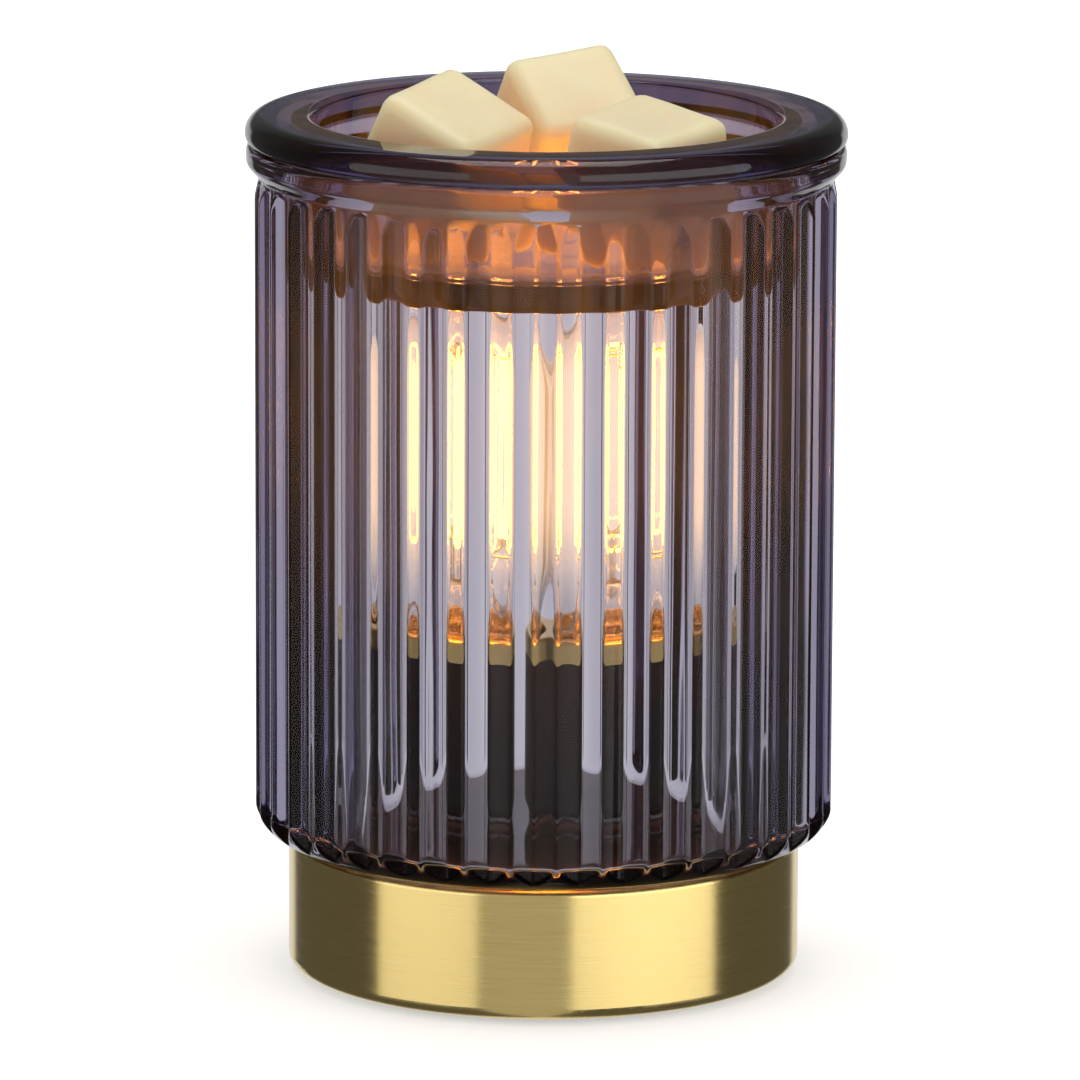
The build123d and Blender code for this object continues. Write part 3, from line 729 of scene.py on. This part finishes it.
def wax(label, settings):
    """Creamy wax: light spreads in it, and its skin is mottled."""
    finish = Finish(label, wide=130.0, high=130.0)
    shade = settings.wax
    pale = [min(1.0, part * 1.05) for part in shade]
    finish.colours(finish.wiring.ramp(finish.coarse, 0.3, 0.7), shade, pale)
    finish.set(Subsurface_Weight=1.0, Subsurface_Radius=(1.0, 0.7, 0.35))
    finish.set(Subsurface_Scale=settings.spread, IOR=1.43)
    finish.set(Roughness=finish.wiring.ramp(finish.fine, 0.25, 0.75, start=0.36, end=0.52))
    finish.bump(finish.fine, 0.05 * MM)
    return finish.material


def lit_wire(label, settings):
    """Glowing tungsten, hottest in the middle of each strand."""
    finish = Finish(label, wide=900.0, high=300.0)
    wiring = finish.wiring
    height = wiring.split(wiring.add("ShaderNodeTexCoord").outputs["Object"])[2]
    middle = (settings.strand_top + settings.strand_foot) / 2
    off = wiring.calc("ABSOLUTE", wiring.calc("SUBTRACT", height, middle))
    reach = (settings.strand_top - settings.strand_foot) / 2
    hot = wiring.ramp(off, reach * 0.8, reach, 1.0, 0.25, smooth=True)
    hot = wiring.calc("MULTIPLY", hot, wiring.ramp(finish.fine, 0.3, 0.7, 0.85, 1.0))
    ember = [part * 0.6 for part in settings.glow]
    finish.set(Base_Color=(0.25, 0.2, 0.16, 1.0), Roughness=0.5, Metallic=1.0)
    finish.set(Emission_Color=wiring.blend(hot, (*ember, 1.0), (*settings.glow, 1.0)))
    finish.set(Emission_Strength=settings.light)
    return finish.material


# Operators


class WARMER_OT_shade(bpy.types.Operator):
    """Makes the fluted glass shade"""

    bl_idname = "warmer.shade"
    bl_label = "Fluted shade"

    def execute(self, context):
        jar, glass = context.scene.warmer.shade, context.scene.warmer.glass
        edge = jar.crest + RIB_TRIM
        corners = [
            (jar.hole, jar.foot, HOLE_ROUND),
            (edge, jar.foot, jar.heel + RIB_TRIM),
            (edge, jar.neck - 5 * MM, jar.heel, 10),
            (jar.neck_radius, jar.neck, 0.5 * MM),
            (jar.bead, jar.neck + 2.6 * MM, 1.8 * MM),
            (jar.bead, jar.rim, 1.2 * MM),
            (jar.inside + 1 * MM, jar.rim, 0.4 * MM),
            (jar.inside, jar.rim - 1 * MM, 0.8 * MM),
            (jar.inside, jar.floor, jar.corner),
            (jar.hole, jar.floor, HOLE_ROUND),
        ]
        extra = [("Rib Count", "Int"), ("Rib Depth", "Float"), ("Crest", "Float"), ("Neck", "Float")]
        tree = turned_tree("Ribbed jar", extra + [("Sharpness", "Float")], ribbed_round)
        look = (JAR_WAVES, glass.density, glass.lit, glass.gloss, glass.passing)
        material = smoke_glass("pressed_smoke_glass", glass, *look)
        inputs = {
            "Steps": jar.rib_count * jar.rib_steps,
            "Turn": jar.rib_turn - math.pi / jar.rib_count,
            "Material": material,
            "Rib Count": jar.rib_count,
            "Rib Depth": jar.rib_depth,
            "Crest": jar.crest,
            "Neck": jar.neck,
            "Sharpness": jar.rib_edge,
        }
        piece = grow("fluted_shade", tree, run_mesh("jar_outline", [outline(corners, True)]), inputs)
        settle(piece, "base", "smoke_glass", "glass_shade")
        return {"FINISHED"}


class WARMER_OT_dish(bpy.types.Operator):
    """Makes the wax dish"""

    bl_idname = "warmer.dish"
    bl_label = "Wax dish"

    def execute(self, context):
        dish, glass = context.scene.warmer.dish, context.scene.warmer.glass
        corners = [
            (0.0, dish.bottom),
            (dish.outside, dish.bottom, 2.5 * MM),
            (dish.outside, dish.seat, 0.8 * MM),
            (dish.flange, dish.seat, 1.5 * MM),
            (dish.flange, dish.top, 3.2 * MM),
            (dish.mouth, dish.top, 1.4 * MM),
            (dish.mouth, dish.floor, dish.corner),
            (0.0, dish.floor),
        ]
        look = (DISH_WAVES, glass.dish_density, glass.dish_lit, glass.dish_gloss, glass.dish_passing)
        material = smoke_glass("pressed_dish_glass", glass, *look)
        piece = turned("glass_dish", corners, material, 240)
        settle(piece, "dish", "dish_glass", "wax_dish")
        return {"FINISHED"}


class WARMER_OT_melts(bpy.types.Operator):
    """Makes the three wax melts"""

    bl_idname = "warmer.melts"
    bl_label = "Wax melts"

    def execute(self, context):
        settings = context.scene.warmer.melt
        material = wax("cream_wax", settings)
        # Side, place across and back in millimetres, turns about X, Y and Z in degrees
        lie = (
            ("left", -18.45, -9.6, (23.3, 14.6, 51.9)),
            ("right", 17.85, -16.8, (11.6, 3.4, 50.7)),
            ("back", 4.2, 22.6, (36.0, 7.4, 21.7)),
        )
        for side, x, y, turns in lie:
            piece = place("wax_block_" + side, self.block(settings, side, (x * MM, y * MM), turns))
            piece.data.materials.append(material)
            settle(piece, side + "_melt", "wax", "melt_" + side)
        return {"FINISHED"}

    def block(self, settings, side, spot, turns):
        """A moulded block with soft edges and a slightly uneven skin, let down to where its solid lies."""
        low, high, half = settings.base / 2, settings.top / 2, settings.height / 2
        shape = bmesh.new()
        corners = ((-1, -1), (1, -1), (1, 1), (-1, 1))
        ends = ((low, -half), (high, half))
        loops = [[shape.verts.new((a * w, b * w, z)) for a, b in corners] for w, z in ends]
        shape.faces.new(loops[0][::-1])
        shape.faces.new(loops[1])
        for k in range(4):
            n = (k + 1) % 4
            shape.faces.new((loops[0][k], loops[0][n], loops[1][n], loops[1][k]))
        bmesh.ops.bevel(
            shape,
            geom=shape.edges[:] + shape.verts[:],
            offset=settings.round,
            segments=MELT_STEPS,
            profile=0.5,
            affect="EDGES",
        )
        long_edges = [e for e in shape.edges if e.calc_length() > MELT_LONG_EDGE]
        bmesh.ops.subdivide_edges(shape, edges=long_edges, cuts=MELT_CUTS, use_grid_fill=True)
        bmesh.ops.recalc_face_normals(shape, faces=shape.faces)
        shape.normal_update()
        seed = Vector((len(side), turns[0], turns[2]))
        for vert in shape.verts:
            dent = noise.noise(vert.co * SKIN_SCALE + seed) * 0.5 + 0.5
            vert.co -= vert.normal * (dent * SKIN_DEPTH)
        a, b, c = (math.radians(turn) for turn in turns)
        turn = Matrix.Rotation(a, 4, "X") @ Matrix.Rotation(b, 4, "Y") @ Matrix.Rotation(c, 4, "Z")
        shape.transform(turn)
        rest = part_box("melt_" + side)[0].z - min(vert.co.z for vert in shape.verts)
        shape.transform(Matrix.Translation((*spot, rest)))
        for face in shape.faces:
            face.smooth = True
        mesh = bpy.data.meshes.new("wax_block_" + side)
        shape.to_mesh(mesh)
        shape.free()
        return mesh


class WARMER_OT_base(bpy.types.Operator):
    """Finishes the brass base and what is fixed under it"""

    bl_idname = "warmer.base"
    bl_label = "Brass base"

    def execute(self, context):
        metal = context.scene.warmer.metal
        dress(brushed_metal("brushed_brass", metal.brass, metal.brass_dark, 0.22, 1500.0), "base_shell")
        dress(moulded("black_plate", (0.03, 0.03, 0.032), (0.015, 0.015, 0.016), 0.55, 900.0), "bottom_plate")
        rubber = moulded("rubber", (0.035, 0.034, 0.033), (0.018, 0.018, 0.018), 0.8, 1200.0)
        dress(rubber, "rubber_feet", "cord_grommet")
        brown = moulded("brown_rubber", (0.12, 0.05, 0.03), (0.07, 0.028, 0.018), 0.85, 950.0)
        dress(brown, "base_gasket", "floor_pad")
        steel = plain_metal("steel", (0.62, 0.61, 0.59), (0.48, 0.47, 0.46), 0.3)
        dress(steel, "bottom_screws", "screw_posts", "threaded_tube")
        dress(steel, "tube_nut", "lock_washer", "clamp_washer")
        return {"FINISHED"}


class WARMER_OT_wiring(bpy.types.Operator):
    """Finishes the leads and their crimp caps"""

    bl_idname = "warmer.wiring"
    bl_label = "Leads"

    def execute(self, context):
        dress(moulded("lead_black", (0.03, 0.03, 0.03), (0.02, 0.02, 0.02), 0.45, 800.0), "live_lead")
        dress(moulded("lead_white", (0.75, 0.74, 0.71), (0.66, 0.65, 0.62), 0.45, 800.0), "neutral_lead")
        dress(moulded("nylon", (0.72, 0.69, 0.60), (0.62, 0.59, 0.50), 0.5, 700.0), "crimp_caps")
        return {"FINISHED"}


class WARMER_OT_holder(bpy.types.Operator):
    """Finishes the lamp holder"""

    bl_idname = "warmer.holder"
    bl_label = "Lamp holder"

    def execute(self, context):
        metal = context.scene.warmer.metal
        black = moulded("holder_black", (0.018, 0.016, 0.016), (0.010, 0.009, 0.009), 0.45, 700.0, 0.2)
        dress(black, "holder_cap", "holder_shell")
        dress(brushed_metal("collar_brass", metal.brass, metal.brass_dark, 0.22, 2600.0), "holder_collar")
        dress(moulded("porcelain", (0.80, 0.78, 0.73), (0.72, 0.70, 0.65), 0.25, 500.0), "contact_block")
        contact = plain_metal("contact_brass", (0.74, 0.58, 0.27), (0.55, 0.42, 0.19), 0.25)
        dress(contact, "screw_shell", "centre_contact")
        return {"FINISHED"}


class WARMER_OT_bulb(bpy.types.Operator):
    """Makes the bulb: glass, stem, screw cap and contact"""

    bl_idname = "warmer.bulb"
    bl_label = "Bulb"

    def execute(self, context):
        bulb = context.scene.warmer.bulb
        flare_top = bulb.flare + FLARE_HEIGHT
        skin = bulb.glass
        inner, outer = bulb.radius - skin, bulb.radius
        corners = [
            (0.0, bulb.top - skin),
            (inner, bulb.top - skin, inner * 0.998),
            (inner, flare_top, FLARE_ROUND),
            (bulb.neck_radius - skin, bulb.flare, FLARE_ROUND),
            (bulb.neck_radius - skin, bulb.neck, LIP_ROUND),
            (bulb.neck_radius, bulb.neck, LIP_ROUND),
            (bulb.neck_radius, bulb.flare, FLARE_ROUND),
            (outer, flare_top, FLARE_ROUND),
            (outer, bulb.top, outer * 0.998),
            (0.0, bulb.top),
        ]
        glass = clear_glass("clear_glass", bulb)
        settle(turned("bulb_glass", corners, glass, 96), "bulb", "clear_glass", "bulb_envelope")
        settle(self.stem(bulb, clear_glass("stem_glass")), "bulb", "stem_glass", "bulb_stem")
        settle(self.cap(bulb), "bulb", "contact_brass", "bulb_cap")
        dress(plain_metal("solder", (0.55, 0.55, 0.54), (0.40, 0.40, 0.39), 0.35), "bulb_contact")
        dress(moulded("black_glass", (0.02, 0.02, 0.025), (0.01, 0.01, 0.012), 0.12, 300.0), "cap_insulator")
        return {"FINISHED"}

    def stem(self, bulb, glass):
        """Flare, pinch, rod and button of the glass stem."""
        throat = bulb.neck_radius - bulb.glass - STEM_GAP
        pinch = bulb.neck + 10.5 * MM
        pinch_top = bulb.strand_foot + 2.08 * MM
        button = bulb.strand_top - 2.33 * MM
        corners = [
            (0.0, pinch - STEM_GLASS),
            (1.8 * MM, pinch - STEM_GLASS, 0.4 * MM),
            (throat - STEM_GLASS, bulb.neck, LIP_ROUND),
            (throat, bulb.neck, LIP_ROUND),
            (throat, bulb.neck + STEM_GLASS, 0.3 * MM),
            (PINCH_RADIUS, pinch, 2 * MM),
            (PINCH_RADIUS, pinch_top, 0.6 * MM),
            (ROD_RADIUS, pinch_top + ROD_RADIUS, 0.8 * MM),
            (ROD_RADIUS, button - ROD_RADIUS, 0.8 * MM),
            (BUTTON_RADIUS, button, 0.6 * MM),
            (BUTTON_RADIUS, button + BUTTON_HEIGHT, 0.9 * MM),
            (0.0, button + BUTTON_HEIGHT),
        ]
        return turned("bulb_stem_glass", corners, glass, 64)

    def cap(self, bulb):
        """Rolled screw cap."""
        inner = bulb.cap_radius - CAP_WALL
        corners = [
            (inner, bulb.cap_foot, LIP_ROUND),
            (bulb.cap_radius, bulb.cap_foot, 0.15 * MM, 90),
            (bulb.cap_radius, bulb.cap_top, 0.15 * MM),
            (inner, bulb.cap_top, LIP_ROUND),
        ]
        names = ("Pitch", "Thread Depth", "Thread Foot", "Thread Top", "Outer")
        tree = turned_tree("Screw cap", [(name, "Float") for name in names], threaded_round)
        inputs = {
            "Steps": 96,
            "Turn": 0.0,
            "Material": plain_metal("bulb_cap_brass", (0.74, 0.60, 0.32), (0.58, 0.46, 0.24), 0.25),
            "Pitch": THREAD_PITCH,
            "Thread Depth": THREAD_DEPTH,
            "Thread Foot": bulb.cap_foot + 1 * MM,
            "Thread Top": bulb.cap_top - 2 * MM,
            "Outer": bulb.cap_radius - 0.1 * MM,
        }
        return grow("screw_cap", tree, run_mesh("cap_outline", [outline(corners, True)]), inputs)


class WARMER_OT_filament(bpy.types.Operator):
    """Makes the filament, its hooks and its lead-in wires"""

    bl_idname = "warmer.filament"
    bl_label = "Filament"

    def execute(self, context):
        bulb = context.scene.warmer.bulb
        step = math.tau / bulb.strand_count
        levels = (bulb.strand_foot, bulb.strand_top)
        run = []
        for i in range(bulb.strand_count):
            ends = [self.spot(bulb.strand_circle, (i + 0.5) * step, z) for z in levels]
            run += ends if i % 2 == 0 else ends[::-1]
        glowing = lit_wire("filament_wire", bulb)
        strands = wires("glowing_filament", [run], bulb.strand_wire, STRAND_BEND, glowing)
        settle(strands, "bulb", "filament_wire", "filament")
        grey = plain_metal("support_wire", (0.50, 0.48, 0.46), (0.36, 0.35, 0.33), 0.35)
        hooks = wires("wire_hooks", self.hooks(bulb, step), bulb.hook_wire, HOOK_BEND, grey)
        settle(hooks, "bulb", "support_wire", "filament_hooks")
        leads = wires("lead_in_pair", self.leads(bulb, step), bulb.hook_wire, LEAD_BEND, grey)
        settle(leads, "bulb", "support_wire", "lead_in_wires")
        return {"FINISHED"}

    def spot(self, radius, angle, height):
        """A point at a radius, an angle and a height."""
        return (radius * math.cos(angle), radius * math.sin(angle), height)

    def hooks(self, bulb, step):
        """A hook for each loop, its tip turned round the wire."""
        reach = bulb.strand_circle * math.cos(step / 2)
        bend = reach + HOOK_OVERRUN
        offset = bulb.strand_wire + bulb.hook_wire + WIRE_GAP
        runs = []
        for i in range(bulb.strand_count - 1):
            upper = i % 2 == 0
            root = BUTTON_RADIUS if upper else PINCH_RADIUS
            height = bulb.strand_top - offset if upper else bulb.strand_foot + offset
            tip = height + (HOOK_TIP if upper else -HOOK_TIP)
            corners = ((root, height), (bend, height), (bend, tip))
            runs.append([self.spot(radius, (i + 1) * step, z) for radius, z in corners])
        return runs

    def leads(self, bulb, step):
        """Wires from the pinch to the two ends of the filament."""
        foot = bulb.strand_foot - LEAD_DROP
        tip = bulb.strand_foot - WIRE_GAP
        corners = ((PINCH_RADIUS, foot), (bulb.strand_circle, foot), (bulb.strand_circle, tip))
        sides = (step / 2, -step / 2)
        return [[self.spot(radius, angle, z) for radius, z in corners] for angle in sides]


class WARMER_OT_stage(bpy.types.Operator):
    """Makes the floor, the lights, the world and the camera"""

    bl_idname = "warmer.stage"
    bl_label = "Stage"

    def execute(self, context):
        stage = context.scene.warmer.stage
        self.camera(context.scene, stage)
        self.floor()
        self.world(context.scene, stage)
        self.softbox("softbox_right", RIGHT_TURN, RIGHT_SIZE, stage.right)
        self.softbox("softbox_left", LEFT_TURN, LEFT_SIZE, stage.left)
        middle = (0.0, 0.0, 0.0)
        self.lamp("softbox_overhead", OVERHEAD_SIZE, stage.overhead, OVERHEAD_SPOT, middle)
        context.scene.view_settings.view_transform = "Standard"
        cycles = context.scene.cycles
        cycles.max_bounces = GLASS_BOUNCES
        cycles.transmission_bounces = GLASS_BOUNCES
        cycles.glossy_bounces = GLOSS_BOUNCES
        cycles.transparent_max_bounces = CLEAR_BOUNCES
        return {"FINISHED"}

    def camera(self, scene, stage):
        """Long lens a little above the object."""
        lens = bpy.data.cameras.new("camera")
        lens.lens = stage.lens
        lens.sensor_width = SENSOR_WIDTH
        lens.clip_end = CLIP_END
        camera = bpy.data.objects.new("camera", lens)
        scene.collection.objects.link(camera)
        rise, run = math.sin(stage.elevation), math.cos(stage.elevation)
        ahead = Vector((0.0, run, -rise))
        level, upright = Vector((1.0, 0.0, 0.0)), Vector((0.0, rise, run))
        right = level * math.cos(stage.roll) + upright * math.sin(stage.roll)
        up = upright * math.cos(stage.roll) - level * math.sin(stage.roll)
        spot = Vector((stage.aim_x, 0.0, stage.aim_z)) - ahead * stage.distance
        turn = Matrix((right, up, -ahead)).transposed()
        camera.matrix_world = Matrix.Translation(spot) @ turn.to_4x4()
        scene.camera = camera

    def floor(self):
        """Round pale floor that renders white and keeps the shadow."""
        shape = bmesh.new()
        bmesh.ops.create_circle(shape, cap_ends=True, segments=FLOOR_SIDES, radius=FLOOR_RADIUS)
        mesh = bpy.data.meshes.new("floor")
        shape.to_mesh(mesh)
        shape.free()
        floor = place("floor", mesh)
        material = bpy.data.materials.new("pale_floor")
        material.use_nodes = True
        material.node_tree.nodes.clear()
        wiring = Wiring(material.node_tree)
        path = wiring.add("ShaderNodeLightPath").outputs
        paint = wiring.add("ShaderNodeBsdfDiffuse", {"Color": FLOOR_PAINT}).outputs[0]
        spot = wiring.add("ShaderNodeTexCoord").outputs["Object"]
        away = wiring.add("ShaderNodeVectorMath", {0: spot}, operation="LENGTH").outputs["Value"]
        ends = (FLOOR_NEAR, FLOOR_FAR, FLOOR_NEAR_WHITE, FLOOR_FAR_WHITE)
        pale = wiring.ramp(away, *ends, smooth=True)
        strength = wiring.calc("MULTIPLY", path["Is Camera Ray"], pale)
        white = wiring.add("ShaderNodeEmission", {"Strength": strength}).outputs[0]
        both = wiring.add("ShaderNodeAddShader", {0: paint, 1: white}).outputs[0]
        wiring.add("ShaderNodeOutputMaterial", {"Surface": both})
        mesh.materials.append(material)
        floor.visible_glossy = False
        floor.visible_transmission = False

    def world(self, scene, stage):
        """White for the camera, an even fill for paint, a bright back for glass and gloss."""
        world = bpy.data.worlds.new("studio")
        world.use_nodes = True
        world.node_tree.nodes.clear()
        scene.world = world
        wiring = Wiring(world.node_tree)
        calc = wiring.calc
        x, y, z = wiring.split(wiring.add("ShaderNodeTexCoord").outputs["Generated"])
        around = calc("MULTIPLY", calc("ARCTAN2", x, y), IN_DEGREES)
        off_back = calc("ABSOLUTE", around)
        ahead = calc("MULTIPLY", calc("ARCTAN2", x, calc("MULTIPLY", y, -1.0)), IN_DEGREES)
        off_front = calc("ABSOLUTE", calc("ADD", ahead, FRONT_TURN))
        # Through glass: a white back, dark past its edges, and a grey room to the sides and in front
        edge = stage.back + stage.back_edge
        through = wiring.ramp(off_back, stage.back, edge, 1.0, stage.dark, smooth=True)
        room = wiring.ramp(off_back, ROOM_START, ROOM_FULL, 0.0, stage.room, smooth=True)
        through = calc("MAXIMUM", through, room)
        # In gloss: a narrower back that dims upwards, a grey front and dim sides
        behind = wiring.ramp(off_back, GLOSS_BACK, GLOSS_BACK_END, 1.0, 0.0, smooth=True)
        dimmed = wiring.ramp(z, 0.0, GLOSS_RISE, 1.0, GLOSS_ABOVE, smooth=True)
        behind = calc("MULTIPLY", behind, dimmed)
        front = wiring.ramp(off_front, FRONT_HALF, FRONT_END, stage.front, 0.0, smooth=True)
        sides = calc("MAXIMUM", calc("MAXIMUM", behind, front), stage.sides)
        path = wiring.add("ShaderNodeLightPath").outputs
        level = calc("MULTIPLY", path["Is Diffuse Ray"], stage.fill)
        level = calc("MAXIMUM", level, path["Is Camera Ray"])
        level = calc("MAXIMUM", level, calc("MULTIPLY", path["Is Transmission Ray"], through))
        mirrored = calc("SUBTRACT", path["Is Glossy Ray"], path["Is Transmission Ray"], clamp=True)
        level = calc("MAXIMUM", level, calc("MULTIPLY", mirrored, sides))
        light = wiring.add("ShaderNodeBackground", {"Strength": level})
        wiring.add("ShaderNodeOutputWorld", {"Surface": light.outputs[0]})

    def lamp(self, label, size, brightness, spot, aim):
        """Rectangular softbox that neither the camera nor a look through glass sees."""
        light = bpy.data.lights.new(label, "AREA")
        light.shape = "RECTANGLE"
        light.size, light.size_y = size
        light.energy = brightness * math.pi * size[0] * size[1]
        lamp = bpy.data.objects.new(label, light)
        bpy.context.scene.collection.objects.link(lamp)
        lamp.location = spot
        lamp.rotation_euler = (Vector(aim) - Vector(spot)).to_track_quat("-Z", "Y").to_euler()
        lamp.visible_camera = False
        lamp.visible_transmission = False

    def softbox(self, label, side, size, brightness):
        """Upright softbox beside the camera, at an angle from its line."""
        turn = math.radians(side)
        across, near = SOFTBOX_DISTANCE * math.sin(turn), -SOFTBOX_DISTANCE * math.cos(turn)
        aim = (0.0, 0.0, SOFTBOX_HEIGHT)
        self.lamp(label, size, brightness, (across, near, SOFTBOX_HEIGHT), aim)


class WARMER_PT_panel(bpy.types.Panel):
    """Sizes, colours and makers of the warmer"""

    bl_idname = "WARMER_PT_panel"
    bl_label = "Wax melt warmer"
    bl_space_type = "VIEW_3D"
    bl_region_type = "UI"
    bl_category = "Warmer"

    def draw(self, context):
        settings = context.scene.warmer
        for part in ("shade", "dish", "glass", "melt", "bulb", "metal", "stage"):
            group = getattr(settings, part)
            box = self.layout.box()
            box.label(text=part.capitalize())
            for key in group.__annotations__:
                box.prop(group, key)
        for operator in OPERATORS:
            self.layout.operator(operator.bl_idname)


SETTINGS = (
    ShadeSettings,
    DishSettings,
    GlassSettings,
    MeltSettings,
    BulbSettings,
    MetalSettings,
    StageSettings,
    WarmerSettings,
)
OPERATORS = (
    WARMER_OT_shade,
    WARMER_OT_dish,
    WARMER_OT_melts,
    WARMER_OT_base,
    WARMER_OT_wiring,
    WARMER_OT_holder,
    WARMER_OT_bulb,
    WARMER_OT_filament,
    WARMER_OT_stage,
)
CLASSES = SETTINGS + OPERATORS + (WARMER_PT_panel,)


def register():
    for cls in CLASSES:
        bpy.utils.register_class(cls)
    bpy.types.Scene.warmer = PointerProperty(type=WarmerSettings)


def unregister():
    del bpy.types.Scene.warmer
    for cls in reversed(CLASSES):
        bpy.utils.unregister_class(cls)


def main():
    register()
    for step in ("stage", "shade", "dish", "melts", "base", "wiring", "holder", "bulb", "filament"):
        getattr(bpy.ops.warmer, step)()


if __name__ == "__main__":
    main()
